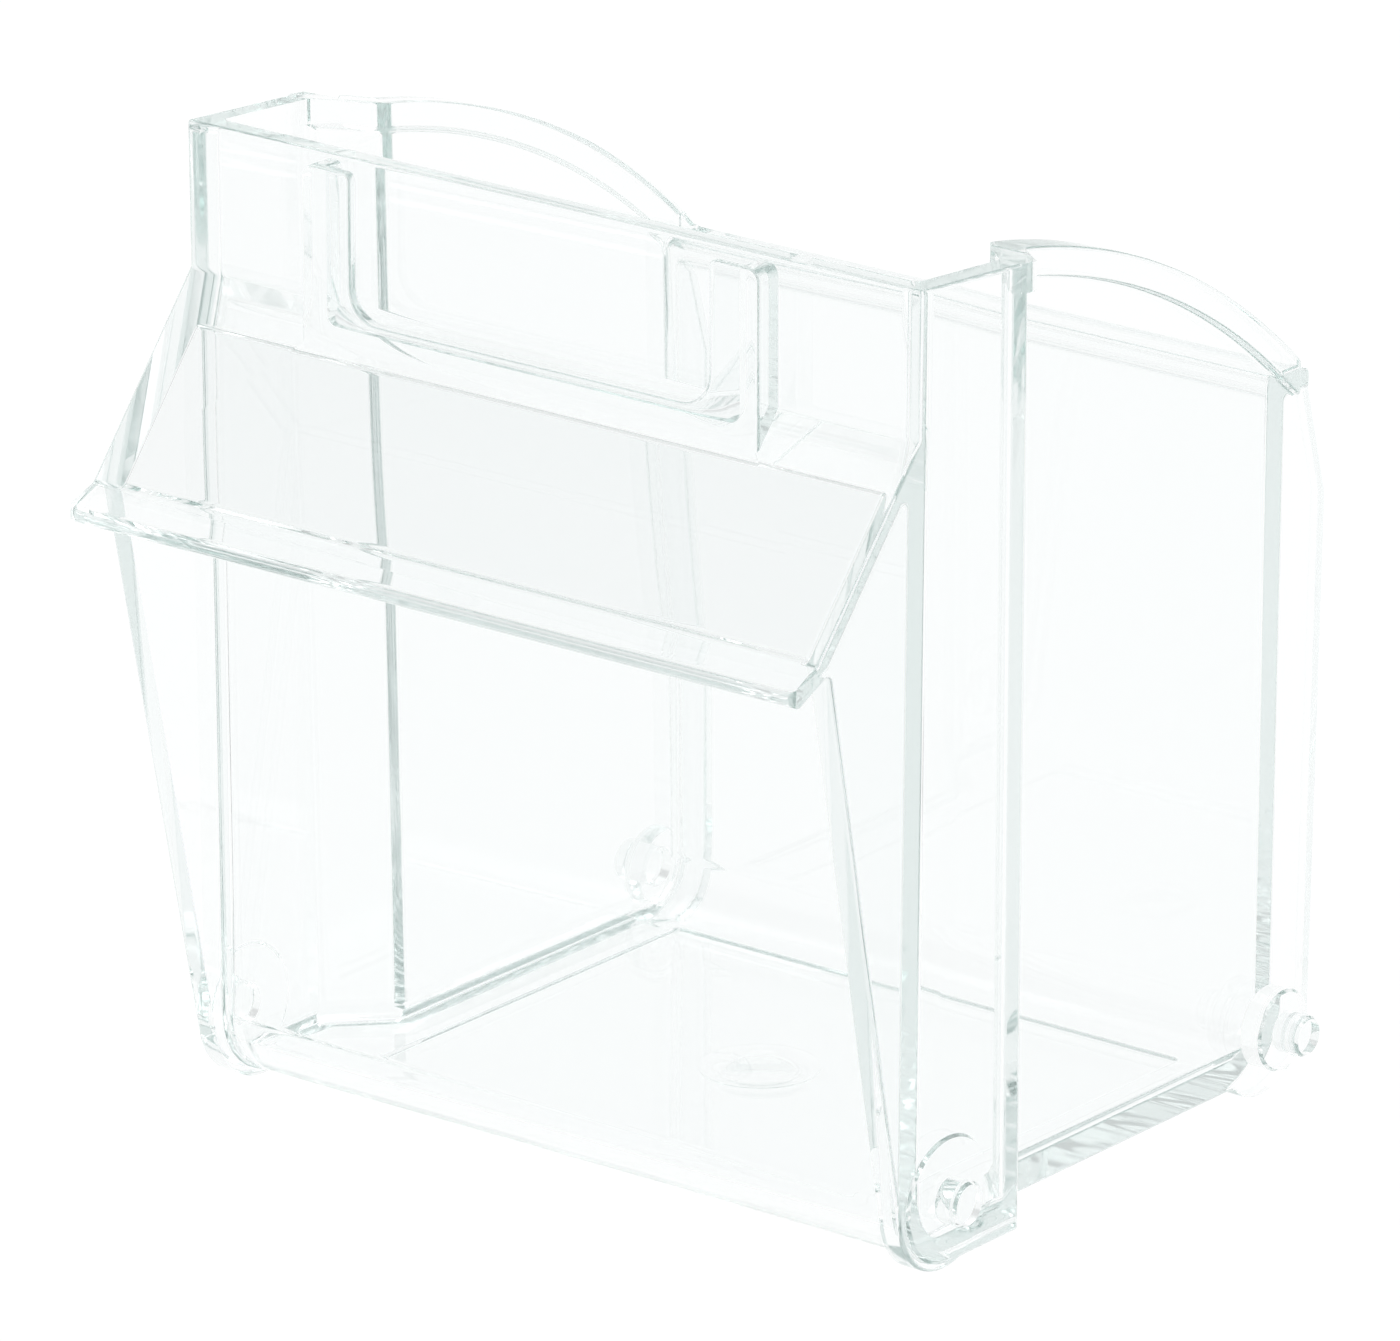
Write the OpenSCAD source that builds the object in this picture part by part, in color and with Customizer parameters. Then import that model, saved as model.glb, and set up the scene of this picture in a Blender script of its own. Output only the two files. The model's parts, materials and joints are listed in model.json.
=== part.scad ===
// Tip-out bin: one clear drawer cup of a tip-out storage rail.
// X runs across the bin, Y from the front wall to the back, Z up.
// Heights are measured from the surface that the bin stands on.
// The finished bin is centred on its overall depth.

/* [Body] */
// Width of the wide front part, over the rim
front_w = 64; // [60:0.5:72]
// Height of the front wall's rim
front_h = 72.3; // [66:0.1:80]
// How far each side steps in behind its slanted shoulder
shoulder_step = 4.1; // [3:0.1:6]
// Depth from the front wall's face to the rear wall's back
body_d = 48.4; // [42:0.1:60]
// Depth of the wide front part, where the slanted shoulders start
shoulder_y = 11.7; // [9:0.1:16]
// How far the side rims' arc runs down behind the rear wall
rim_end = 1.4; // [0.8:0.1:1.9]
// Thickness of the walls
wall = 1.75; // [1.4:0.05:2.2]
// Thickness of the floor
floor_t = 1.6; // [1.2:0.05:2.2]
// Height of the floor's underside above the standing surface
ground_gap = 1.4; // [0.8:0.1:1.8]
// Draft of the side walls, in degrees
draft = 0.6; // [0:0.1:1]
// Outer radius of the trough's front bottom corner
front_corner_r = 5.4; // [4:0.1:8]
// Outer radius of the trough's rear bottom corner
rear_corner_r = 5.8; // [4:0.1:8]

/* [Front pivots] */
// Distance of the pivot axis behind the front wall's face
pivot_y = 4.2; // [4:0.1:6]
// Height of the pivot axis
pivot_z = 6.3; // [6:0.1:8]
// Diameter of the pivot pins
pivot_pin_d = 3.3; // [2:0.1:4.4]
// How far the pivot pins reach past the front part's rim
pivot_pin_out = 1.3; // [0.8:0.1:2]
// Diameter of the round foot that carries each pivot pin
pivot_boss_d = 10.4; // [8.6:0.1:11]
// How far the foot's pad stands out of the side
pivot_pad_t = 0.3; // [0.1:0.1:0.8]

/* [Rear stops] */
// Distance of the stop pins' axis before the rear wall's back
stop_setback = 1.5; // [1:0.1:2.5]
// Diameter of the round lobe that carries each stop pin
stop_boss_d = 10.6; // [8:0.1:11]
// Diameter of the collar at the root of each stop pin
collar_d = 6; // [4:0.1:7]
// How far the collars reach past the rear part's rim
collar_out = 1; // [0.5:0.1:2]
// Diameter of the stop pins
stop_pin_d = 3; // [2:0.1:3.6]
// Length of the stop pins beyond their collars
stop_pin_len = 2.1; // [1.5:0.1:3]

/* [Fins and ledge] */
// How far the side plates reach behind the rear wall
fin_reach = 4.3; // [3.9:0.1:6]
// How far below the ledge's top the fins' rear edge bends inward
fin_bend_drop = 9.7; // [6:0.1:14]
// How far the ledge reaches behind the rear wall
ledge_reach = 2.05; // [1:0.05:3.5]
// Thickness of the ledge
ledge_t = 1.5; // [1:0.1:2.5]

/* [Rim bead] */
// How far the bead stands out of the rear part's sides
bead_out = 0.7; // [0.5:0.05:1.2]
// Height of the bead, measured down from the rim
bead_h = 2.1; // [1.5:0.1:3]

/* [Hood] */
// How far below the front rim the hood leaves the wall
hood_root_drop = 10.6; // [8:0.1:14]
// Thickness of the hood
hood_t = 2; // [1.4:0.05:2.4]
// Reach of the hood from the wall to its bend
hood_reach = 10.8; // [8:0.1:14]
// Fall of the hood from the wall to its bend
hood_drop = 12.9; // [10:0.1:15]
// Reach of the lip beyond the bend
lip_reach = 3; // [2:0.1:5]
// Fall of the lip beyond the bend
lip_drop = 1.25; // [0.5:0.05:2]
// Thickness of the lip
lip_t = 1.4; // [1:0.05:1.8]
// Corner radius of the lip, seen from above
lip_corner_r = 1.2; // [0.6:0.1:2.5]
// Size of the web in the corner under the hood
hood_web = 1.4; // [0.5:0.1:3]

/* [Wings] */
// Reach of the wings' front edge under the hood's bend
wing_reach = 9.6; // [7:0.1:10]

/* [Label holder] */
// Overall width of the label holder
label_w = 39.8; // [30:0.1:48]
// How far the label holder stands out of the wall
label_proud = 2.2; // [1.8:0.05:3]
// Width of the webs that carry the two arms
label_web_t = 1.9; // [1.2:0.1:3]
// Overhang of the arms over the card slot
label_overhang = 2.4; // [1:0.1:4]
// Thickness of the arms over the card slot
label_arm_t = 0.85; // [0.6:0.05:1.2]
// Height of the window that the holder leaves over its rail
card_window_h = 10.8; // [9:0.1:12]
// How far the rail's edge stands above the card slot's floor
card_slot_depth = 1; // [0.6:0.1:2]

/* [Gate dimple] */
// Diameter of the gate dimple in the floor
gate_d = 8.8; // [6:0.1:14]
// Distance of the gate dimple behind the front wall's face
gate_y = 24.5; // [16:0.1:32]
// Height that the dimple rises above the floor
gate_rise = 1.2; // [0.4:0.1:3]

/* [Hidden] */
$fn = 96;

clear_plastic = [0.90, 0.95, 0.95, 0.55];
reach = 200;
floor_z = ground_gap + floor_t;
pan_top = ground_gap + max(front_corner_r, rear_corner_r);
rear_w = front_w - 2 * shoulder_step;
stop_y = body_d - stop_setback;
stop_z = stop_boss_d / 2;
pivot_tip = front_w / 2 + pivot_pin_out;
collar_tip = rear_w / 2 + collar_out;
stop_tip = collar_tip + stop_pin_len;
fin_y = body_d + fin_reach;
ledge_y = body_d + ledge_reach;
middle_y = (fin_y - hood_reach - lip_reach) / 2;

// The shoulder's faces leave the front part's side at the first value
// and meet the rear part's side at the second.
shoulder_start = shoulder_y - wall * (sqrt(2) - 1);
shoulder_end = shoulder_y + shoulder_step;

// The rear rim is an arc about the pivot axis, so it clears a housing as
// the bin tips out. It starts where the front part's rim ends.
rim_fall = 0.8;
rim_start = [shoulder_start, front_h - rim_fall];
rim_r = norm(rim_start - [pivot_y, pivot_z]);
rear_h = pivot_z + sqrt(rim_r ^ 2 - (body_d + rim_end - pivot_y) ^ 2);

// The hood's outer face runs from root to bend, and the lip's from bend on.
hood_root = [0, front_h - hood_root_drop];
hood_bend = hood_root - [hood_reach, hood_drop];
hood_along = unit([-hood_reach, -hood_drop]);
hood_inward = quarter_turn(hood_along);
lip_along = unit([-lip_reach, -lip_drop]);
lip_inward = quarter_turn(lip_along);
bend_inside = meet(
    hood_root + hood_inward * hood_t, hood_along,
    hood_bend + lip_inward * lip_t, lip_along
);
root_inside = meet(hood_root + hood_inward * hood_t, hood_along, [0, 0], [0, 1]);
lip_nose = hood_bend + [-lip_reach, -lip_drop]
    + lip_inward * lip_t / 2 - lip_along * lip_t / 2;
wing_top = [-wing_reach, bend_inside.y];
rail_z = front_h - card_window_h;

function unit(v) = v / norm(v);
function quarter_turn(v) = [-v.y, v.x];
// Where the line through p along u meets the line through q along v
function meet(p, u, q, v) = p + u * cross(q - p, v) / cross(u, v);
// Where a line from point p touches the front of a circle
function touch(p, centre, r) =
    let (d = norm(centre - p), turn = asin(r / d))
    p + sqrt(d * d - r * r) * unit([
        (centre - p).x * cos(turn) + (centre - p).y * sin(turn),
        (centre - p).y * cos(turn) - (centre - p).x * sin(turn)
    ]);

// Puts the bin on its place in the shared frame
module placed() {
    color(clear_plastic) translate([0, -middle_y, 0]) children();
}

// Draws the right-hand piece, or its mirror image on the left
module on_side(side) {
    if (side == "left") mirror([1, 0, 0]) children();
    else children();
}

// Extrudes a side view, drawn in Y and Z, from x0 to x1
module side_view(x0, x1) {
    translate([x0, 0, 0]) rotate([90, 0, 90]) linear_extrude(height = x1 - x0) children();
}

// A round bar along X at a point of the side view
module bar(centre, d, x0, x1) {
    side_view(x0, x1) translate(centre) circle(d = d);
}

// A slice of the right-hand half between two depths and above a height
module slice(y0, y1, z0 = 0) {
    translate([0, y0, z0]) cube([reach, y1 - y0, reach]);
}

// Endless block of the given rim width, narrower towards the floor
module drafted_block(rim_w) {
    fall = tan(draft) * front_h;
    rotate([90, 0, 0]) linear_extrude(height = 2 * reach, center = true)
        polygon([
            [-rim_w / 2 + fall, 0], [rim_w / 2 - fall, 0],
            [rim_w / 2, front_h], [-rim_w / 2, front_h]
        ]);
}

// Everything between the bin's sides, once they are moved in by an inset
module between_sides(inset) {
    tip = front_w / 2 + shoulder_y - inset * sqrt(2);
    intersection() {
        drafted_block(front_w - 2 * inset);
        linear_extrude(height = reach)
            polygon([[0, tip], [-tip - reach, -reach], [tip + reach, -reach]]);
    }
    drafted_block(rear_w - 2 * inset);
}

// The plates of the side walls, still without an outline
module side_plates() {
    difference() {
        between_sides(0);
        between_sides(wall);
    }
}

// Side view of the trough that floor, front wall and rear wall form
module trough_view(front_y, rear_y, bottom_z, front_r, rear_r) {
    translate([front_y + front_r, bottom_z])
        square([rear_y - front_y - front_r - rear_r, reach]);
    translate([front_y, bottom_z + front_r]) square([front_r, reach]);
    translate([rear_y - rear_r, bottom_z + rear_r]) square([rear_r, reach]);
    translate([front_y + front_r, bottom_z + front_r]) circle(r = front_r);
    translate([rear_y - rear_r, bottom_z + rear_r]) circle(r = rear_r);
}

module trough() {
    intersection() {
        side_view(-reach / 2, reach / 2) difference() {
            trough_view(0, body_d, ground_gap, front_corner_r, rear_corner_r);
            trough_view(wall, body_d - wall, floor_z,
                front_corner_r - wall, rear_corner_r - wall);
        }
        between_sides(wall);
    }
}

// Side view of everything under the rear rim's arc
module under_arc() {
    translate([pivot_y, pivot_z]) circle(r = rim_r, $fn = 240);
}

// The two round ends of each side plate
module boss_holes() {
    bar([pivot_y, pivot_z], pivot_boss_d, 0, reach);
    bar([stop_y, stop_z], stop_boss_d, 0, reach);
}

// A stretch of side plate above the floor's underside, with its rim's shape
module plate_piece(y0, y1) {
    difference() {
        intersection() {
            side_plates();
            slice(y0, y1, ground_gap);
            side_view(0, reach) children();
        }
        boss_holes();
    }
}

module floor_pan() placed() {
    difference() {
        intersection() {
            trough();
            translate([-reach / 2, 0, 0]) cube([reach, reach, pan_top]);
        }
        translate([0, gate_y, 0]) cylinder(d = gate_d, h = pan_top);
    }
}

module front_wall() placed() {
    intersection() {
        trough();
        translate([-reach / 2, 0, pan_top]) cube([reach, wall, front_h - pan_top]);
    }
}

module rear_wall() placed() {
    intersection() {
        trough();
        translate([-reach / 2, body_d - wall, pan_top]) cube([reach, wall, rear_h - pan_top]);
    }
}

module rear_ledge() placed() {
    intersection() {
        between_sides(wall);
        translate([-reach / 2, body_d, rear_h - ledge_t]) cube([reach, ledge_reach, ledge_t]);
    }
}

// The gate sits in a dimple, so that its stub stays clear of the ground
module gate_dimple() placed() {
    translate([0, gate_y, ground_gap]) difference() {
        cylinder(d = gate_d, h = floor_t + gate_rise);
        translate([0, 0, -1]) cylinder(d = gate_d - 2 * floor_t, h = gate_rise + 1);
    }
}

module front_cheek(side) placed() on_side(side) {
    plate_piece(0, shoulder_start)
        polygon([
            [0, pivot_z], [pivot_y, 0], [shoulder_start, 0], rim_start, [0, front_h]
        ]);
}

module shoulder(side) placed() on_side(side) {
    plate_piece(shoulder_start, shoulder_end) under_arc();
}

module side_wall(side) placed() on_side(side) {
    plate_piece(shoulder_end, body_d) under_arc();
}

module rear_fin(side) placed() on_side(side) {
    difference() {
        intersection() {
            side_plates();
            slice(body_d, fin_y, stop_z);
            side_view(0, reach) {
                intersection() {
                    under_arc();
                    polygon([
                        [body_d, 0], [stop_y + stop_boss_d / 2, stop_z],
                        [fin_y, rear_h - fin_bend_drop], [ledge_y, rear_h - ledge_t],
                        [ledge_y, reach], [body_d, reach]
                    ]);
                }
                translate([body_d, rear_h - ledge_t]) square([ledge_reach, ledge_t]);
            }
        }
        boss_holes();
    }
}

// The bead stiffens the rear rim from outside. It follows the arc along the
// shoulder and the side wall, and ends level with the ledge.
module rim_bead(side) placed() on_side(side) {
    intersection() {
        difference() {
            between_sides(-bead_out);
            between_sides(0);
        }
        slice(shoulder_y, body_d + rim_end / 2, rear_h - ledge_t);
        side_view(0, reach) difference() {
            under_arc();
            translate([pivot_y, pivot_z]) circle(r = rim_r - bead_h, $fn = 240);
        }
    }
}

module hood_panel() placed() {
    web_foot = root_inside - [0, hood_web];
    side_view(-front_w / 2, front_w / 2) {
        polygon([hood_root, hood_bend, bend_inside, root_inside]);
        polygon([root_inside, root_inside + hood_along * hood_web, web_foot]);
    }
}

module pull_lip() placed() {
    front = -hood_reach - lip_reach;
    intersection() {
        side_view(-front_w / 2, front_w / 2) {
            polygon([
                hood_bend, lip_nose - lip_inward * lip_t / 2,
                lip_nose + lip_inward * lip_t / 2, bend_inside
            ]);
            translate(lip_nose) circle(d = lip_t, $fn = 32);
        }
        linear_extrude(height = front_h) {
            translate([-front_w / 2, front + lip_corner_r]) square([front_w, reach]);
            translate([-front_w / 2 + lip_corner_r, front])
                square([front_w - 2 * lip_corner_r, reach]);
            for (x = [-1, 1])
                translate([x * (front_w / 2 - lip_corner_r), front + lip_corner_r])
                    circle(r = lip_corner_r);
        }
    }
}

module wing(side) placed() on_side(side) {
    foot = touch(wing_top, [pivot_y, pivot_z], pivot_boss_d / 2);
    difference() {
        intersection() {
            side_plates();
            slice(-reach, 0);
            side_view(0, reach) difference() {
                polygon([
                    bend_inside, wing_top, foot, [pivot_y, pivot_z], [0, root_inside.y]
                ]);
                polygon([root_inside, root_inside + hood_along * hood_web,
                    root_inside - [0, hood_web]]);
            }
        }
        boss_holes();
    }
}

module above_hood() {
    difference() {
        children();
        side_view(-front_w, front_w)
            polygon([hood_root, hood_bend, [hood_bend.x, 0], [0, 0]]);
    }
}

module label_arm(side) placed() on_side(side) {
    above_hood() translate([0, 0, hood_bend.y])
        linear_extrude(height = front_h - hood_bend.y) {
            translate([label_w / 2 - label_web_t, -label_proud])
                square([label_web_t, label_proud]);
            translate([label_w / 2 - label_web_t - label_overhang, -label_proud])
                square([label_web_t + label_overhang, label_arm_t]);
        }
}

module label_rail() placed() {
    between_webs = label_w / 2 - label_web_t;
    between_arms = between_webs - label_overhang;
    above_hood() {
        side_view(-between_arms, between_arms)
            translate([-label_proud, hood_bend.y])
                square([label_arm_t, rail_z - hood_bend.y]);
        side_view(-between_webs, between_webs)
            translate([label_arm_t - label_proud, hood_bend.y])
                square([label_proud - label_arm_t, rail_z - card_slot_depth - hood_bend.y]);
    }
}

module pivot_boss(side) placed() on_side(side) {
    difference() {
        intersection() {
            between_sides(-pivot_pad_t);
            bar([pivot_y, pivot_z], pivot_boss_d, 0, reach);
        }
        between_sides(wall);
    }
}

module pivot_pin(side) placed() on_side(side) {
    difference() {
        bar([pivot_y, pivot_z], pivot_pin_d, 0, pivot_tip);
        between_sides(-pivot_pad_t);
    }
}

module stop_boss(side) placed() on_side(side) {
    difference() {
        union() {
            intersection() {
                between_sides(0);
                bar([stop_y, stop_z], stop_boss_d, 0, reach);
            }
            bar([stop_y, stop_z], collar_d, 0, collar_tip);
        }
        between_sides(wall);
    }
}

module stop_pin(side) placed() on_side(side) {
    bar([stop_y, stop_z], stop_pin_d, collar_tip, stop_tip);
}

floor_pan();
front_wall();
rear_wall();
rear_ledge();
gate_dimple();
front_cheek("left");  // left_front_cheek
front_cheek("right");  // right_front_cheek
shoulder("left");  // left_shoulder
shoulder("right");  // right_shoulder
side_wall("left");  // left_side_wall
side_wall("right");  // right_side_wall
rear_fin("left");  // left_rear_fin
rear_fin("right");  // right_rear_fin
rim_bead("left");  // left_rim_bead
rim_bead("right");  // right_rim_bead
wing("left");  // left_wing
wing("right");  // right_wing
hood_panel();
pull_lip();
label_arm("left");  // left_label_arm
label_arm("right");  // right_label_arm
label_rail();
pivot_boss("left");  // left_pivot_boss
pivot_boss("right");  // right_pivot_boss
pivot_pin("left");  // left_pivot_pin
pivot_pin("right");  // right_pivot_pin
stop_boss("left");  // left_stop_boss
stop_boss("right");  // right_stop_boss
stop_pin("left");  // left_stop_pin
stop_pin("right");  // right_stop_pin
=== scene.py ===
# %% [markdown]
# A clear tip-out bin, one cup of a storage rail, photographed on pure white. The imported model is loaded
# first and stays as it is. The real bin is a single moulding, so its look is one closed mesh of clear
# plastic. A clear body that is built from separate solids would show a mirror-like skin inside, wherever
# two of them touch.

# %% Load the frame
import bpy
import bmesh
import json
from math import acos, atan2, cos, pi, radians, sin, sqrt, tan
from mathutils import Euler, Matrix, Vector

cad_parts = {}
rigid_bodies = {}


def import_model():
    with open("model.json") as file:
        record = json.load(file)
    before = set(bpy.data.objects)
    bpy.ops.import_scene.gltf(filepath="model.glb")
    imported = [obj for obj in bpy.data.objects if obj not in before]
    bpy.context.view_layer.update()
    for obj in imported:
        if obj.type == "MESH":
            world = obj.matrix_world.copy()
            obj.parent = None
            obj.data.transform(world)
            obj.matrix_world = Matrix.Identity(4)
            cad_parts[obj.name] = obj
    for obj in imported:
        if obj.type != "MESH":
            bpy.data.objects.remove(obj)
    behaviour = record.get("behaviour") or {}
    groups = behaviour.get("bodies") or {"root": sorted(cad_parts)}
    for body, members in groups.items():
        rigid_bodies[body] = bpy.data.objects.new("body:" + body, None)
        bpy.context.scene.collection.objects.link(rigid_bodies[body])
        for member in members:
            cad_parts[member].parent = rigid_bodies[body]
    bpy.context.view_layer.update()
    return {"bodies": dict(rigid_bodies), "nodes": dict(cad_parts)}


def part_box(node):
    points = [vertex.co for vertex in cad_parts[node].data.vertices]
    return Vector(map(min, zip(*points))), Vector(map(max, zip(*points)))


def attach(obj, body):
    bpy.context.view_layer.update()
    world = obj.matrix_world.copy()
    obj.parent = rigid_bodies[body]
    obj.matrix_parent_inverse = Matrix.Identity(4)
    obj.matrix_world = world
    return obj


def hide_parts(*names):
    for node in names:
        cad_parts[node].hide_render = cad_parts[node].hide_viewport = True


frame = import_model()
scene = bpy.context.scene
MM = 0.001

# %% [markdown]
# The clear body has to fill the same space as the solids, so its main lines are read from the frame. They
# are the ones that a mould maker would draw: rim heights, the hood's bend, the axes of the two pairs of
# pins. What no box tells, such as a wall's thickness or the draft, is a named size here.

# %% Read the bin's lines from the frame
def low(node):
    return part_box(node)[0]


def high(node):
    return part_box(node)[1]


def axis_point(node):
    """The side view point (y, z) that a pin turns about."""
    lowest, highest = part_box(node)
    return ((lowest[1] + highest[1]) / 2, (lowest[2] + highest[2]) / 2)


wall = 1.75 * MM
draft = radians(0.6)
wide_depth = 11.7 * MM
fin_bend_drop = 9.7 * MM
front_y = low("front_wall")[1]
back_y = high("rear_wall")[1]
front_rim_z = high("front_wall")[2]
rear_rim_z = high("rear_wall")[2]
under_z = low("floor_pan")[2]
front_half = high("right_front_cheek")[0]
rear_half = high("rear_ledge")[0] + wall + tan(draft) * (front_rim_z - rear_rim_z)
shoulder_y = front_y + wide_depth
shoulder_step = front_half - rear_half
pivot = axis_point("right_pivot_boss")
stop = axis_point("right_stop_pin")
pivot_r = (high("right_pivot_boss")[1] - low("right_pivot_boss")[1]) / 2
stop_r = (high("right_stop_boss")[1] - low("right_stop_boss")[1]) / 2
rim_start = (high("right_front_cheek")[1], high("right_shoulder")[2])
rim_r = sqrt((rim_start[0] - pivot[0]) ** 2 + (rim_start[1] - pivot[1]) ** 2)
ledge_y = high("rear_ledge")[1]
ledge_t = high("rear_ledge")[2] - low("rear_ledge")[2]
fin_y = high("right_rear_fin")[1]
fin_bend_z = rear_rim_z - fin_bend_drop
hood_root = (front_y, high("hood_panel")[2])
hood_bend = (low("hood_panel")[1], high("pull_lip")[2])
wing_y = low("right_wing")[1]
holder_half = high("right_label_arm")[0]
holder_y = low("right_label_arm")[1]
rail_z = high("label_rail")[2]
gate_y = (low("gate_dimple")[1] + high("gate_dimple")[1]) / 2

print("front half width %.2f mm, rear %.2f mm" % (front_half / MM, rear_half / MM))
print("rim radius %.2f mm" % (rim_r / MM))

# %% [markdown]
# The camera stands where the photographer's stood: 38 degrees to the right, 19 degrees up, 0.92 m away with
# a long lens, so the bin's upright edges stay upright in the picture. Light that enters the end of a wall
# is thrown to and fro between its faces many times before it leaves, so it may turn often, or the edges
# would come out black.

# %% Place the camera
turn, tilt = radians(38.28), radians(19.16)
sensor_mm = 36
lens_px, frame_px = 13154, 1400
right_of_bin, before_bin, above_ground = 0.5357, 0.66203, 0.3347
most_turns = 96
camera = bpy.data.objects.new("camera", bpy.data.cameras.new("camera"))
camera.data.lens = sensor_mm * lens_px / frame_px
camera.data.sensor_width = sensor_mm
camera.data.sensor_fit = "HORIZONTAL"
camera.data.clip_end = 50
camera.rotation_euler = Euler((pi / 2 - tilt, 0, turn))
camera.location = (right_of_bin, front_y - before_bin, above_ground)
scene.collection.objects.link(camera)
scene.camera = camera
scene.view_settings.view_transform = "Standard"
scene.cycles.max_bounces = most_turns
scene.cycles.transmission_bounces = most_turns
scene.cycles.glossy_bounces = most_turns
print("lens %.1f mm" % camera.data.lens)

# %% [markdown]
# Colours are written as sRGB hex values, as a colour picker shows them, and turned to the linear values
# that shaders expect. One small function adds a shader node with its settings and its links.

# %% Colour and node helpers
def linear(hex_colour):
    """An sRGB hex colour as a linear RGBA value."""
    def channel(part):
        c = int(part, 16) / 255
        return c / 12.92 if c <= 0.04045 else ((c + 0.055) / 1.055) ** 2.4
    digits = hex_colour.lstrip("#")
    return tuple(channel(digits[i:i + 2]) for i in (0, 2, 4)) + (1.0,)


def add(tree, kind, links=None, values=None, **settings):
    """Adds a node. values sets its sockets, and links joins them to other nodes' sockets."""
    node = tree.nodes.new(kind)
    for name, value in settings.items():
        setattr(node, name, value)
    for socket, value in (values or {}).items():
        node.inputs[socket].default_value = value
    for socket, source in (links or {}).items():
        tree.links.new(source, node.inputs[socket])
    return node


def empty_material(name):
    material = bpy.data.materials.new(name)
    material.use_nodes = True
    material.node_tree.nodes.clear()
    return material


# %% [markdown]
# The studio is a white sweep. The camera, reflections and everything seen through the plastic find plain
# white there, while surfaces get a softer light that leaves room for a shadow. One dim flag hangs high on
# the left in front. The slanted hood bends the view up to it and so shows as a pale grey sheet, as in the
# photograph. The sheet of paper glows a little less than the sky, which sets the cup's floor off from its
# walls.

# %% Light the studio
def seen_directly(tree):
    """1 for rays from the camera, off gloss or through clear plastic, 0 for light that falls on surfaces."""
    path = add(tree, "ShaderNodeLightPath")
    gloss = add(tree, "ShaderNodeMath", {0: path.outputs["Is Camera Ray"], 1: path.outputs["Is Glossy Ray"]},
                operation="MAXIMUM")
    either = add(tree, "ShaderNodeMath", {0: gloss.outputs[0], 1: path.outputs["Is Transmission Ray"]},
                 operation="MAXIMUM")
    return either.outputs[0]


world = bpy.data.worlds.new("studio")
scene.world = world
world.use_nodes = True
sky = world.node_tree
sky.nodes.clear()
towards_flag = (-0.59, -0.45, 0.67)
direction = add(sky, "ShaderNodeTexCoord")
flag = add(sky, "ShaderNodeVectorMath", {0: direction.outputs["Generated"]}, {1: towards_flag},
           operation="DOT_PRODUCT")
shade = add(sky, "ShaderNodeMapRange", {"Value": flag.outputs["Value"]},
            {"From Min": 0.92, "From Max": 0.975, "To Min": 1.0, "To Max": 0.7},
            interpolation_type="SMOOTHSTEP")
shown = add(sky, "ShaderNodeBackground", {"Strength": shade.outputs[0]}, {"Color": (1, 1, 1, 1)})
lighting = add(sky, "ShaderNodeBackground", values={"Color": (1, 1, 1, 1), "Strength": 0.6})
both = add(sky, "ShaderNodeMixShader",
           {0: seen_directly(sky), 1: lighting.outputs[0], 2: shown.outputs[0]})
add(sky, "ShaderNodeOutputWorld", {"Surface": both.outputs[0]})

sweep = 3
floor_mesh = bpy.data.meshes.new("floor")
floor_mesh.from_pydata([(-sweep, -sweep, 0), (sweep, -sweep, 0), (sweep, sweep, 0), (-sweep, sweep, 0)],
                       [], [(0, 1, 2, 3)])
floor = bpy.data.objects.new("floor", floor_mesh)
scene.collection.objects.link(floor)
paper = empty_material("white_paper_sweep")
sheet = paper.node_tree
matt = add(sheet, "ShaderNodeBsdfDiffuse", values={"Color": linear("#666666")})
glow = add(sheet, "ShaderNodeEmission", values={"Color": (1, 1, 1, 1), "Strength": 0.93})
dark = add(sheet, "ShaderNodeEmission", values={"Strength": 0.0})
background = add(sheet, "ShaderNodeMixShader",
                 {0: seen_directly(sheet), 1: dark.outputs[0], 2: glow.outputs[0]})
lit_paper = add(sheet, "ShaderNodeAddShader", {0: matt.outputs[0], 1: background.outputs[0]})
add(sheet, "ShaderNodeOutputMaterial", {"Surface": lit_paper.outputs[0]})
floor.data.materials.append(paper)

softbox = bpy.data.objects.new("softbox", bpy.data.lights.new("softbox", "AREA"))
softbox.data.size = 1.0
softbox.data.energy = 6
softbox.location = (0.9, 0.3, 1.2)
softbox.rotation_euler = (Vector((0, 0, 0)) - softbox.location).to_track_quat("-Z", "Y").to_euler()
scene.collection.objects.link(softbox)

# %% [markdown]
# Solids for the body start as outlines, as on a drawing. Geometry Nodes push them: Fillet Curve rounds each
# corner by the radius stored on its point, Fill Curve closes the outline, and Extrude Mesh gives it its
# length. Every flat-sided form below, from the side view of the whole bin to the card holder, comes from
# this one tree.

# %% A tree that pushes a rounded outline to its length
def socket_id(tree, name):
    """The identifier of a Geometry Nodes input, which a modifier's values are stored under."""
    return next(item.identifier for item in tree.interface.items_tree if item.name == name)


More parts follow.
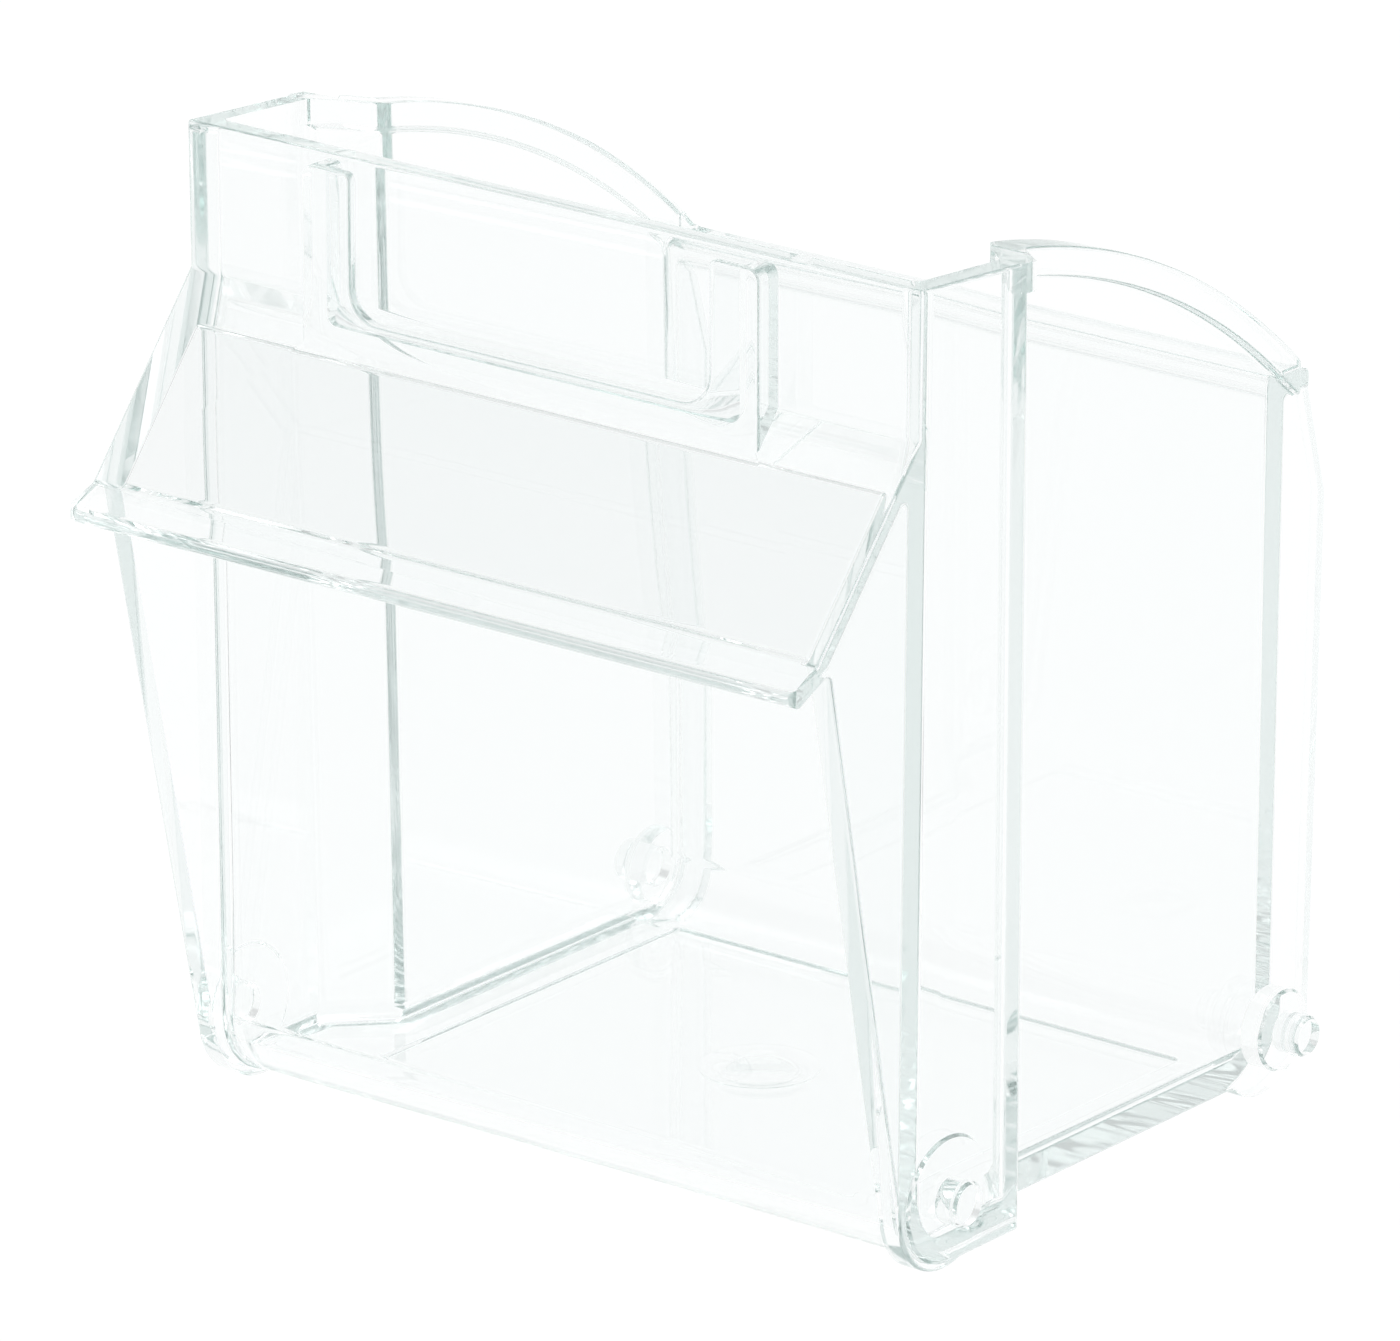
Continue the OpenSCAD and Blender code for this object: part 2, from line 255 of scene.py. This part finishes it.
def outline_tree(material):
    """Geometry Nodes that round an outline's corners, fill it and push it up to its length."""
    tree = bpy.data.node_groups.new("pushed_outline", "GeometryNodeTree")
    tree.interface.new_socket("Outline", in_out="INPUT", socket_type="NodeSocketGeometry")
    tree.interface.new_socket("Length", in_out="INPUT", socket_type="NodeSocketFloat")
    tree.interface.new_socket("Corner steps", in_out="INPUT", socket_type="NodeSocketInt")
    tree.interface.new_socket("Solid", in_out="OUTPUT", socket_type="NodeSocketGeometry")
    given = add(tree, "NodeGroupInput")
    curve = add(tree, "GeometryNodeMeshToCurve", {0: given.outputs["Outline"]})
    radius = add(tree, "GeometryNodeInputNamedAttribute", values={"Name": "corner_radius"}, data_type="FLOAT")
    corners = add(tree, "GeometryNodeFilletCurve",
                  {"Curve": curve.outputs[0], "Radius": radius.outputs["Attribute"],
                   "Count": given.outputs["Corner steps"]}, {"Limit Radius": False}, mode="POLY")
    face = add(tree, "GeometryNodeFillCurve", {"Curve": corners.outputs[0]}, mode="NGONS")
    way = add(tree, "ShaderNodeCombineXYZ", {"Z": given.outputs["Length"]})
    push = add(tree, "GeometryNodeExtrudeMesh", {"Mesh": face.outputs[0], "Offset": way.outputs[0]},
               {"Individual": False}, mode="FACES")
    base = add(tree, "GeometryNodeFlipFaces", {0: face.outputs[0]})
    both_ends = add(tree, "GeometryNodeJoinGeometry")
    tree.links.new(push.outputs[0], both_ends.inputs[0])
    tree.links.new(base.outputs[0], both_ends.inputs[0])
    joined = add(tree, "GeometryNodeMergeByDistance", {0: both_ends.outputs[0]}, {"Distance": 1e-7})
    solid = add(tree, "GeometryNodeRealizeInstances", {0: joined.outputs[0]})
    finish = add(tree, "GeometryNodeSetMaterial", {"Geometry": solid.outputs[0]}, {"Material": material})
    add(tree, "NodeGroupOutput", {0: finish.outputs[0]})
    return tree


plastic = empty_material("clear_polystyrene_moulded")
tree_of_outlines = outline_tree(plastic)

# %% [markdown]
# A tree's result is turned into a plain mesh at once, so that the next step works on real faces. A
# drawing's two axes are laid onto the object's axes afterwards: a side view's become Y and Z, a front
# view's X and Z.

# %% Make solids from outlines
def new_object(name, mesh):
    obj = bpy.data.objects.new(name, mesh)
    scene.collection.objects.link(obj)
    return obj


def baked(obj):
    """The object with its modifiers made part of a plain mesh."""
    bpy.context.view_layer.update()
    graph = bpy.context.evaluated_depsgraph_get()
    mesh = bpy.data.meshes.new_from_object(obj.evaluated_get(graph), depsgraph=graph)
    name = obj.name
    bpy.data.objects.remove(obj)
    return new_object(name, mesh)


def mend(mesh, join_at=1e-7):
    """Merges doubles, turns the faces outwards and counts the edges that are left open."""
    shape = bmesh.new()
    shape.from_mesh(mesh)
    bmesh.ops.remove_doubles(shape, verts=shape.verts, dist=join_at)
    bmesh.ops.recalc_face_normals(shape, faces=shape.faces)
    open_edges = sum(len(edge.link_faces) != 2 for edge in shape.edges)
    shape.to_mesh(mesh)
    shape.free()
    return open_edges


def pushed(name, corners, start, end, axes):
    """A solid from corners (a, b) or (a, b, radius), laid onto two axes and pushed along the third."""
    mesh = bpy.data.meshes.new(name)
    count = len(corners)
    mesh.from_pydata([(c[0], c[1], 0) for c in corners], [(i, (i + 1) % count) for i in range(count)], [])
    radii = [c[2] if len(c) > 2 else 0.0 for c in corners]
    mesh.attributes.new("corner_radius", "FLOAT", "POINT").data.foreach_set("value", radii)
    obj = new_object(name, mesh)
    step = obj.modifiers.new("pushed_outline", "NODES")
    step.node_group = tree_of_outlines
    step[socket_id(tree_of_outlines, "Length")] = end - start
    step[socket_id(tree_of_outlines, "Corner steps")] = 8
    obj = baked(obj)
    for vertex in obj.data.vertices:
        a, b, c = vertex.co
        place = dict(zip(axes, (a, b, start + c)))
        vertex.co = (place["x"], place["y"], place["z"])
    mend(obj.data)
    return obj


def side_view(name, corners, x0=-0.1, x1=0.1):
    return pushed(name, corners, x0, x1, "yzx")


def front_view(name, corners, y0, y1):
    return pushed(name, corners, y0, y1, "xzy")


def top_view(name, corners, z0, z1):
    return pushed(name, corners, z0, z1, "xyz")


def combine(base, other, operation):
    """Cuts, joins or intersects the base with another solid, which is used up."""
    step = base.modifiers.new(operation, "BOOLEAN")
    step.operation = operation
    step.solver = "EXACT"
    step.object = other
    result = baked(base)
    bpy.data.objects.remove(other)
    return result


def soften(obj, width, least_angle, wanted=lambda place: True, segments=3):
    """Rounds the wanted edges that are sharper than an angle."""
    shape = bmesh.new()
    shape.from_mesh(obj.data)
    bmesh.ops.dissolve_limit(shape, angle_limit=radians(0.2), verts=shape.verts, edges=shape.edges)
    sharp = [edge for edge in shape.edges if edge.calc_face_angle() > radians(least_angle)
             and wanted((edge.verts[0].co + edge.verts[1].co) / 2)]
    bmesh.ops.bevel(shape, geom=sharp, offset=width, offset_type="OFFSET", segments=segments, profile=0.5,
                    affect="EDGES", clamp_overlap=False, miter_outer="ARC")
    bmesh.ops.recalc_face_normals(shape, faces=shape.faces)
    shape.to_mesh(obj.data)
    shape.free()
    return obj


def arc(centre, radius, start, end, count):
    """Points on an arc in a drawing plane, with angles in degrees."""
    steps = [radians(start + (end - start) * i / count) for i in range(count + 1)]
    return [(centre[0] + radius * cos(a), centre[1] + radius * sin(a)) for a in steps]


def angle_at(centre, point):
    """The direction from a centre to a point, in degrees."""
    return atan2(point[1] - centre[1], point[0] - centre[0]) * 180 / pi


# %% [markdown]
# The sides are drafted, which lets a moulding leave its mould, and step in behind slanted shoulders. Seen
# from above that is an eight-cornered outline, wider at the rim than at the floor, so a loft joins two such
# outlines.

# %% The space between the sides
def between_sides(name, inset, foot=-0.01):
    """The space between the side plates' outer faces, from a height up, drawn in or let out by an inset."""
    tip = front_half + shoulder_y - inset * sqrt(2)
    rings = []
    for z in (foot, front_rim_z + 0.01):
        front = front_half - inset - tan(draft) * (front_rim_z - z)
        rear = front - shoulder_step
        right = [(front, -0.1), (front, tip - front), (rear, tip - rear), (rear, 0.1)]
        rings.append([(x, y, z) for x, y in right] + [(-x, y, z) for x, y in reversed(right)])
    shape = bmesh.new()
    lower, upper = [[shape.verts.new(p) for p in ring] for ring in rings]
    shape.faces.new(lower)
    shape.faces.new(upper)
    for i in range(8):
        j = (i + 1) % 8
        shape.faces.new((lower[i], lower[j], upper[j], upper[i]))
    bmesh.ops.recalc_face_normals(shape, faces=shape.faces)
    mesh = bpy.data.meshes.new(name)
    shape.to_mesh(mesh)
    shape.free()
    return new_object(name, mesh)


# %% [markdown]
# The hood leaves the front wall at its root, runs down at 50 degrees and flattens into a lip with a round
# nose. Its inner face lies one thickness inside. On each side a wing closes it, whose front edge runs down
# and just touches the round foot of the pivot. Where such lines meet or touch is worked out, so the corners
# follow any change.

# %% Lines of the hood, the wings and the feet
def meeting_point(p, u, q, v):
    """Where the line through p along u meets the line through q along v."""
    p, u, q, v = Vector(p), Vector(u), Vector(q), Vector(v)
    gap = q - p
    return p + u * (gap.x * v.y - gap.y * v.x) / (u.x * v.y - u.y * v.x)


def touching_point(point, centre, radius):
    """Where a line from a point touches the front of a circle."""
    away = Vector(centre) - Vector(point)
    length = sqrt(away.length_squared - radius ** 2)
    turned = atan2(radius, length)
    run = away.normalized()
    return (point[0] + length * (run.x * cos(turned) + run.y * sin(turned)),
            point[1] + length * (run.y * cos(turned) - run.x * sin(turned)))


hood_t, lip_t = 2.0 * MM, 1.4 * MM
lip_step = Vector((-3.0, -1.25))
root, bend = Vector(hood_root), Vector(hood_bend)
hood_run = (bend - root).normalized()
hood_in = Vector((-hood_run.y, hood_run.x))
lip_run = lip_step.normalized()
lip_in = Vector((-lip_run.y, lip_run.x))
nose = bend + lip_step * MM + lip_in * lip_t / 2 - lip_run * lip_t / 2
bend_in = meeting_point(root + hood_in * hood_t, hood_run, bend + lip_in * lip_t, lip_run)
root_in = meeting_point(root + hood_in * hood_t, hood_run, (front_y, 0), (0, 1))
wing_top = (wing_y, bend_in.y)
wing_foot = touching_point(wing_top, pivot, pivot_r)
wing_root = meeting_point(bend_in, lip_run, wing_top, Vector(wing_foot) - Vector(wing_top))
print("the hood falls %.1f degrees" % -angle_at((0, 0), (-hood_run.x, hood_run.y)))

# %% [markdown]
# The outer form is the side view of the whole bin, cut to the space between the sides: rim, hood, lip,
# wings, round feet, fins and the rim arc, which is drawn about the pivot so that the bin clears its housing
# as it tips. A bead stiffens the arc from outside and ends flush with the wide front part. The edges are
# rounded here, while the form is still simple. The arc's points keep clear of its corners, so that the
# rounding has room there.

# %% Make the outer form
def above_pivot(y, radius):
    """The height of an arc about the pivot at a place along the side."""
    return pivot[1] + sqrt(radius ** 2 - (y - pivot[0]) ** 2)


rim_end_y = pivot[0] + sqrt(rim_r ** 2 - (rear_rim_z - pivot[1]) ** 2)
bead_start, bead_end = rim_start[0], back_y + 0.1 * MM
straight_start, straight_end = shoulder_y + 5.2 * MM, bead_end - 1.2 * MM
arc_steps = 47
stations = [bead_start, bead_start + 1.7 * MM, bead_start + 3.4 * MM]
stations += [straight_start + (straight_end - straight_start) * i / arc_steps for i in range(arc_steps + 1)]
stations += [bead_end]
rim_arc = [(rim_end_y, rear_rim_z)] + [(y, above_pivot(y, rim_r)) for y in reversed(stations)]
plate_foot = under_z + 0.02 * MM
foot_end = 270 + acos((pivot[1] - plate_foot) / pivot_r) * 180 / pi
lobe_start = -90 - acos((stop[1] - plate_foot) / stop_r) * 180 / pi
side_outline = (
    [(front_y, front_rim_z), (*hood_root, 0.6 * MM), (*hood_bend, 1.0 * MM)]
    + arc(nose, lip_t / 2, angle_at((0, 0), -lip_in), angle_at((0, 0), -lip_in) + 180, 12)
    + [tuple(wing_root)]
    + arc(pivot, pivot_r, angle_at(pivot, wing_foot) % 360, foot_end, 30)
    + arc(stop, stop_r, lobe_start, 0, 36)
    + [(fin_y, fin_bend_z), (ledge_y, rear_rim_z - ledge_t), (ledge_y, rear_rim_z)]
    + rim_arc
)
outer = combine(side_view("clear_moulding", side_outline), between_sides("outside", 0), "INTERSECT")

lip_corner_r = 1.2 * MM
lip_front, lip_back = nose.x - lip_t / 2, front_y - 9 * MM
lip_plan = [(-0.04, 0.1), (-0.04, lip_back), (-front_half, lip_back), (-front_half, lip_front, lip_corner_r),
            (front_half, lip_front, lip_corner_r), (front_half, lip_back), (0.04, lip_back), (0.04, 0.1)]
outer = combine(outer, top_view("lip_plan", lip_plan, -0.01, 0.1), "INTERSECT")

bead_out, bead_h = 0.7 * MM, 2.1 * MM
bead_outline = rim_arc[1:] + [(y, max(above_pivot(y, rim_r - bead_h), rear_rim_z - ledge_t))
                              for y, z in reversed(rim_arc[1:])]
bead = combine(side_view("bead", bead_outline), between_sides("bead_sides", -bead_out), "INTERSECT")
bead_plan = [(-front_half, 0.1), (-front_half, -0.1), (front_half, -0.1), (front_half, 0.1)]
bead = combine(bead, top_view("bead_plan", bead_plan, -0.01, 0.1), "INTERSECT")
outer = combine(outer, bead, "UNION")
mend(outer.data, 2e-6)
bead_corner = Vector((rim_start[0] + 0.6 * MM, rim_start[1] - 1.5 * MM))
edge_r = 0.3 * MM


def has_room(place):
    """False at the lip's nose, which is round already, and at the small front corner of the bead."""
    at_nose = (place.yz - nose).length <= 1.6 * MM
    at_corner = (place.yz - bead_corner).length < 2.3 * MM and abs(place.x) > 30.3 * MM
    return not at_nose and not at_corner


outer = soften(outer, edge_r, 30, has_room)
print("outer form:", len(outer.data.polygons), "faces, open edges", mend(outer.data))

# %% [markdown]
# Two hollows make walls of the outer form. The first is the cup. It is made as the steel core of the mould
# would be, as a solid with rounded edges, so that its cut leaves fillets in every inner corner. A low panel
# on its foot sinks the middle of the floor, whose outline shows as a fine line all round in the photograph.

# %% Hollow out the cup
floor_t = 1.6 * MM
front_r, rear_r = 5.4 * MM, 5.8 * MM
floor_z = under_z + floor_t
cup_foot_r, cup_edge_r = 1.2 * MM, 0.6 * MM
panel_depth, panel_corner_r = 0.25 * MM, 0.6 * MM
cup_outline = [
    (front_y + wall, 0.082), (front_y + wall, floor_z, front_r - wall),
    (back_y - wall, floor_z, rear_r - wall), (back_y - wall, rear_rim_z, 0.4 * MM),
    (0.09, rear_rim_z), (0.09, 0.082)]
cup_sides = soften(between_sides("cup_sides", wall, floor_z), cup_foot_r, 60,
                   lambda place: place.z < floor_z + 1 * MM and abs(place.x) > 5 * MM, segments=8)
cup = combine(side_view("cup", cup_outline), cup_sides, "INTERSECT")
mend(cup.data, 1e-6)
cup = soften(cup, cup_edge_r, 32, lambda place: place.z > floor_z + 4.3 * MM)
panel_half, panel_front, panel_back = 21.9 * MM, front_y + 6.6 * MM, back_y - rear_r + 0.1 * MM
panel_outline = [(-panel_half, panel_front, panel_corner_r), (panel_half, panel_front, panel_corner_r),
                 (panel_half, panel_back, panel_corner_r), (-panel_half, panel_back, panel_corner_r)]
panel = soften(top_view("panel", panel_outline, floor_z - panel_depth, floor_z + 0.5 * MM), 0.15 * MM, 50)
cup = combine(cup, panel, "UNION")
body = combine(outer, cup, "DIFFERENCE")
print("with the cup:", len(body.data.polygons), "faces, open edges", mend(body.data, 1e-6))

# %% [markdown]
# The second hollow is everything outside the trough between the side plates: the finger space under the
# hood, the gap under the floor and the gap behind the rear wall. Its outline runs along the trough's outer
# faces, and what it leaves standing on the left and right are the wings, the feet, the lobes and the fins,
# each one wall thick.

# %% Open the finger space, the underside and the back
outside_edge_r = 0.35 * MM
beyond = nose + lip_in * lip_t / 2 + lip_run * 0.02
outside_outline = [
    tuple(beyond), (*bend_in, 0.8 * MM), (*root_in, 0.6 * MM), (front_y, under_z, front_r),
    (back_y, under_z, rear_r), (back_y, rear_rim_z - ledge_t, 0.7 * MM),
    (0.09, rear_rim_z - ledge_t), (0.09, -0.02), (beyond.x, -0.02)]
outside = combine(side_view("outside_trough", outside_outline), between_sides("trough_sides", wall),
                  "INTERSECT")
mend(outside.data, 1e-6)
outside = soften(outside, outside_edge_r, 32)
body = combine(body, outside, "DIFFERENCE")
print("with the outside cut away:", len(body.data.polygons), "faces, open edges", mend(body.data, 1e-6))

# %% [markdown]
# A paper card slides into a holder from above: a thin U-shaped frame in front of a slot, carried by two
# webs and a rail. One front view with other sizes gives both. What would run into the finger space is cut
# off along the middle of the hood, so that the holder grows out of its face.

# %% Add the card holder
arm_t, web_t, overhang, slot_depth = 0.85 * MM, 1.9 * MM, 2.4 * MM, 1.0 * MM
outer_corner_r, top_corner_r, window_corner_r, slot_corner_r = 0.9 * MM, 0.5 * MM, 2.3 * MM, 0.8 * MM
holder_foot = hood_bend[1] + 4 * MM
holder_top = front_rim_z - 0.4 * MM


def u_shape(inner_half, inner_floor, corner):
    """The holder's front view, with the floor and the corners of its opening as given."""
    return [(-holder_half, holder_top, outer_corner_r), (-holder_half, holder_foot),
            (holder_half, holder_foot), (holder_half, holder_top, outer_corner_r),
            (inner_half, holder_top, top_corner_r), (inner_half, inner_floor, corner),
            (-inner_half, inner_floor, corner), (-inner_half, holder_top, top_corner_r)]


card_frame = front_view("card_frame", u_shape(holder_half - web_t - overhang, rail_z, window_corner_r),
                        holder_y, holder_y + arm_t)
card_webs = front_view("card_webs", u_shape(holder_half - web_t, rail_z - slot_depth, slot_corner_r),
                       holder_y + 0.3 * MM, front_y + wall / 2)
holder = combine(soften(card_frame, 0.25 * MM, 50), card_webs, "UNION")
inside_hood = hood_in * hood_t / 2
below_hood = [tuple(root + inside_hood), tuple(bend + inside_hood), (bend.x, 0), (front_y + hood_t, 0),
              (front_y + hood_t, root.y)]
holder = combine(holder, side_view("below_hood", below_hood), "DIFFERENCE")
body = combine(body, holder, "UNION")
print("with the card holder:", len(body.data.polygons), "faces, open edges", mend(body.data, 1e-6))

# %% [markdown]
# Each bottom corner carries a pin on a round pad: at the front the bin tips about them, at the back they
# end its way. The four are stepped turnings that differ only in their sizes. One Geometry Nodes tree stacks
# them from open rings, cone after cone, welds the rings and places a pair. Each starts deep in the side
# plate and grows out of it.

# %% Add the pivot pins and the stop pins
def pins_tree(material):
    """Geometry Nodes that turn a stepped pin and place one on each point."""
    tree = bpy.data.node_groups.new("pair_of_pins", "GeometryNodeTree")
    tree.interface.new_socket("Points", in_out="INPUT", socket_type="NodeSocketGeometry")
    for name in ("Pad radius", "Pad length", "Pin radius", "Pin length", "Chamfer"):
        tree.interface.new_socket(name, in_out="INPUT", socket_type="NodeSocketFloat")
    tree.interface.new_socket("Pins", in_out="OUTPUT", socket_type="NodeSocketGeometry")
    given = add(tree, "NodeGroupInput")

    def sum_of(a, b, operation="ADD"):
        return add(tree, "ShaderNodeMath", {0: a, 1: b}, operation=operation).outputs[0]

    pad_r, pad_l, pin_r, pin_l, chamfer = [given.outputs[i] for i in range(1, 6)]
    nought = add(tree, "ShaderNodeMath", values={0: 0.0, 1: 0.0}).outputs[0]
    pad_top = sum_of(pad_l, chamfer, "SUBTRACT")
    tip = sum_of(pad_l, pin_l)
    tip_start = sum_of(tip, chamfer, "SUBTRACT")
    pad_small = sum_of(pad_r, chamfer, "SUBTRACT")
    pin_small = sum_of(pin_r, chamfer, "SUBTRACT")
    steps = [(nought, nought), (pad_r, nought), (pad_r, pad_top), (pad_small, pad_l), (pin_r, pad_l),
             (pin_r, tip_start), (pin_small, tip), (nought, tip)]
    stack = add(tree, "GeometryNodeJoinGeometry")
    for (r0, z0), (r1, z1) in zip(steps, steps[1:]):
        ring = add(tree, "GeometryNodeMeshCone",
                   {"Radius Bottom": r0, "Radius Top": r1, "Depth": sum_of(z1, z0, "SUBTRACT")},
                   {"Vertices": 64}, fill_type="NONE")
        rise = add(tree, "ShaderNodeCombineXYZ", {"Z": z0})
        raised = add(tree, "GeometryNodeTransform",
                     {"Geometry": ring.outputs[0], "Translation": rise.outputs[0]})
        tree.links.new(raised.outputs[0], stack.inputs[0])
    welded = add(tree, "GeometryNodeMergeByDistance", {0: stack.outputs[0]}, {"Distance": 1e-7})
    way = add(tree, "GeometryNodeInputNamedAttribute", values={"Name": "outwards"}, data_type="FLOAT_VECTOR")
    facing = add(tree, "FunctionNodeAlignRotationToVector", {"Vector": way.outputs["Attribute"]}, axis="Z")
    pair = add(tree, "GeometryNodeInstanceOnPoints",
               {"Points": given.outputs["Points"], "Instance": welded.outputs[0],
                "Rotation": facing.outputs[0]})
    solid = add(tree, "GeometryNodeRealizeInstances", {0: pair.outputs[0]})
    finish = add(tree, "GeometryNodeSetMaterial", {"Geometry": solid.outputs[0]}, {"Material": material})
    add(tree, "NodeGroupOutput", {0: finish.outputs[0]})
    return tree


tree_of_pins = pins_tree(plastic)


def pair_of_pins(name, at, root_x, pad_x, tip_x, pad_r, pin_r):
    """A pin on the right and its twin on the left, from root to pad to tip."""
    points = bpy.data.meshes.new(name)
    points.from_pydata([(root_x, *at), (-root_x, *at)], [], [])
    points.attributes.new("outwards", "FLOAT_VECTOR", "POINT").data.foreach_set("vector", (1, 0, 0, -1, 0, 0))
    obj = new_object(name, points)
    step = obj.modifiers.new(name, "NODES")
    step.node_group = tree_of_pins
    for label, value in (("Pad radius", pad_r), ("Pad length", pad_x - root_x), ("Pin radius", pin_r),
                         ("Pin length", tip_x - pad_x), ("Chamfer", 0.2 * MM)):
        step[socket_id(tree_of_pins, label)] = value
    obj = baked(obj)
    print(name, "open edges", mend(obj.data))
    return obj


pivot_pad_r, stop_pad_r = pivot_r - 0.6 * MM, 3.0 * MM
pivot_sunk, stop_sunk = 1.2 * MM, 2.4 * MM
pivot_pin_r = (high("right_pivot_pin")[2] - low("right_pivot_pin")[2]) / 2
stop_pin_r = (high("right_stop_pin")[2] - low("right_stop_pin")[2]) / 2
pivot_pins = pair_of_pins("pivot_pins", pivot, low("right_pivot_pin")[0] - pivot_sunk,
                          low("right_pivot_pin")[0], high("right_pivot_pin")[0], pivot_pad_r, pivot_pin_r)
stop_pins = pair_of_pins("stop_pins", stop, low("right_stop_pin")[0] - stop_sunk,
                         low("right_stop_pin")[0], high("right_stop_pin")[0], stop_pad_r, stop_pin_r)
body = combine(body, pivot_pins, "UNION")
body = combine(body, stop_pins, "UNION")
print("with the pins:", len(body.data.polygons), "faces, open edges", mend(body.data, 1e-6))

# %% [markdown]
# The floor carries the mark of the gate, where the plastic entered the mould: a shallow swell over a small
# pocket, so that the broken stub stays clear of the ground. Its profile starts and ends level, which keeps
# the mark as faint as it is in the photograph.

# %% Add the gate dimple
gate_r = (high("gate_dimple")[1] - low("gate_dimple")[1]) / 2
swell, pocket_margin = 0.5 * MM, 1.6 * MM
rings_up, rings_round = 12, 64


def low_dome(name, radius, foot, base, rise):
    """A round solid from its foot up to a top that swells gently, as (radius, height) rings."""
    rings = [(radius, foot)]
    for i in range(rings_up):
        rings.append((radius * (1 - i / rings_up), base + rise * sin(pi * i / (2 * rings_up)) ** 2))
    turns = [2 * pi * i / rings_round for i in range(rings_round)]
    shape = bmesh.new()
    loops = [[shape.verts.new((r * cos(t), gate_y + r * sin(t), z)) for t in turns] for r, z in rings]
    for lower, upper in zip(loops, loops[1:]):
        for i in range(rings_round):
            shape.faces.new((lower[i], lower[i - 1], upper[i - 1], upper[i]))
    shape.faces.new(loops[0])
    shape.faces.new(loops[-1])
    mesh = bpy.data.meshes.new(name)
    shape.to_mesh(mesh)
    shape.free()
    mend(mesh)
    return new_object(name, mesh)


dimple = low_dome("dimple", gate_r, floor_z - 0.8 * MM, floor_z - 0.22 * MM, swell)
pocket = low_dome("pocket", gate_r - pocket_margin, under_z - 1 * MM, under_z + 0.03 * MM, swell / 2)
body = combine(body, dimple, "UNION")
body = combine(body, pocket, "DIFFERENCE")
print("with the gate dimple:", len(body.data.polygons), "faces, open edges", mend(body.data, 1e-6))

# %% [markdown]
# The shading has to show flat walls between rounded edges. All faces are smooth, and the normals are
# weighted by face area, so that the wide faces keep theirs and only the narrow ones in the rounded edges
# blend. Where two faces meet at more than 40 degrees, as at the edges that the cuts left crisp, the shading
# breaks.

# %% Finish the edges
body.name = "clear_moulding"
for face in body.data.polygons:
    face.use_smooth = True
body.data.set_sharp_from_angle(angle=radians(40))
weigh = body.modifiers.new("flat_faces_first", "WEIGHTED_NORMAL")
weigh.weight = 100
weigh.keep_sharp = True
moulding = baked(body)
moulding.name = "clear_moulding"
print("finished moulding:", len(moulding.data.polygons), "faces")

# %% [markdown]
# Clear polystyrene bends light strongly, index 1.59, so every edge shows a bright and a grey line, and its
# moulded faces are nearly polished. It swallows a little more red than green and blue, which hardly shows
# through a wall, but turns the ends of the walls grey-green, where light has run all along them. The
# surface lets a trace less through at each pass, so walls behind walls look a shade darker. Rays that ask
# for shadow go straight through and leave only a faint one on the paper, as clear plastic does.

# %% Clear polystyrene
tree = plastic.node_tree
clear = add(tree, "ShaderNodeBsdfPrincipled",
            values={"Base Color": linear("#fcfdfd"), "Roughness": 0.02, "IOR": 1.59,
                    "Transmission Weight": 1.0})
tint = add(tree, "ShaderNodeVolumeAbsorption", values={"Color": linear("#bcd3cf"), "Density": 7.5})
path = add(tree, "ShaderNodeLightPath")
see_through = add(tree, "ShaderNodeBsdfTransparent", values={"Color": linear("#f6f9f8")})
surface = add(tree, "ShaderNodeMixShader",
              {0: path.outputs["Is Shadow Ray"], 1: clear.outputs[0], 2: see_through.outputs[0]})
add(tree, "ShaderNodeOutputMaterial", {"Surface": surface.outputs[0], "Volume": tint.outputs[0]})
moulding.data.materials.clear()
moulding.data.materials.append(plastic)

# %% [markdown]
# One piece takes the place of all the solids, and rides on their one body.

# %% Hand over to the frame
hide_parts(*frame["nodes"])
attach(moulding, list(frame["bodies"])[0])
